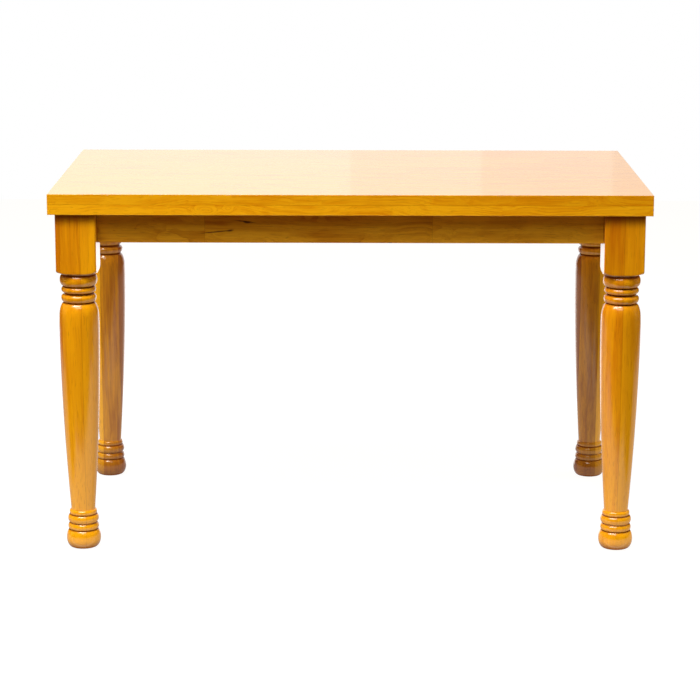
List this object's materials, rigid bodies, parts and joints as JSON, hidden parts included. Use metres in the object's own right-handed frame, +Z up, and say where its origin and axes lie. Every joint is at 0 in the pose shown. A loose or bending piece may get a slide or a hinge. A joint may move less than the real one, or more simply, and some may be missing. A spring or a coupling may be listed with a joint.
{
  "type": "communion table",
  "caption": "Rectangular wooden communion table: thick built-up top over set-back aprons on turned legs with square upper blocks, ringed necks and ball feet.",
  "frame": {"origin": "on the floor under the middle of the top", "axes": "+X along the length of the top, -Y towards the front that the congregation sees, +Z up"},
  "size_m": [1.2192, 0.686, 0.7508],
  "materials": {
    "panel_wood": "clear gloss varnish over an edge-glued, finger-jointed honey panel",
    "strip_wood": "clear gloss varnish, honey amber, grain along each strip",
    "apron_wood": "clear gloss varnish, honey amber, finger-jointed",
    "leg_wood": "clear gloss varnish over turned, laminated honey wood",
    "batten_wood": "thin sealer coat, satin",
    "block_wood": "thin sealer coat, satin",
    "zinc_steel": "zinc plated, satin",
    "screw_steel": "black phosphate, satin",
    "glide_nylon": "brown nylon, matte"
  },
  "bodies": {
    "root": {"top_panel": "panel_wood", "top_edge_front": "strip_wood", "top_edge_right": "strip_wood", "top_edge_back": "strip_wood", "top_edge_left": "strip_wood", "top_batten": "batten_wood", "batten_screw_1": "screw_steel", "batten_screw_2": "screw_steel", "batten_screw_3": "screw_steel", "batten_screw_4": "screw_steel", "apron_front": "apron_wood", "apron_right": "apron_wood", "apron_back": "apron_wood", "apron_left": "apron_wood", "leg_front_left": "leg_wood", "corner_block_front_left": "block_wood", "foot_glide_front_left": "glide_nylon", "leg_bolt_front_left": "zinc_steel", "leg_washer_front_left": "zinc_steel", "leg_nut_front_left": "zinc_steel", "block_screw_front_left_1": "screw_steel", "block_screw_front_left_2": "screw_steel", "block_screw_front_left_3": "screw_steel", "block_screw_front_left_4": "screw_steel", "top_screw_front_left": "screw_steel", "leg_front_right": "leg_wood", "corner_block_front_right": "block_wood", "foot_glide_front_right": "glide_nylon", "leg_bolt_front_right": "zinc_steel", "leg_washer_front_right": "zinc_steel", "leg_nut_front_right": "zinc_steel", "block_screw_front_right_1": "screw_steel", "block_screw_front_right_2": "screw_steel", "block_screw_front_right_3": "screw_steel", "block_screw_front_right_4": "screw_steel", "top_screw_front_right": "screw_steel", "leg_back_right": "leg_wood", "corner_block_back_right": "block_wood", "foot_glide_back_right": "glide_nylon", "leg_bolt_back_right": "zinc_steel", "leg_washer_back_right": "zinc_steel", "leg_nut_back_right": "zinc_steel", "block_screw_back_right_1": "screw_steel", "block_screw_back_right_2": "screw_steel", "block_screw_back_right_3": "screw_steel", "block_screw_back_right_4": "screw_steel", "top_screw_back_right": "screw_steel", "leg_back_left": "leg_wood", "corner_block_back_left": "block_wood", "foot_glide_back_left": "glide_nylon", "leg_bolt_back_left": "zinc_steel", "leg_washer_back_left": "zinc_steel", "leg_nut_back_left": "zinc_steel", "block_screw_back_left_1": "screw_steel", "block_screw_back_left_2": "screw_steel", "block_screw_back_left_3": "screw_steel", "block_screw_back_left_4": "screw_steel", "top_screw_back_left": "screw_steel"}
  },
  "joints": []
}
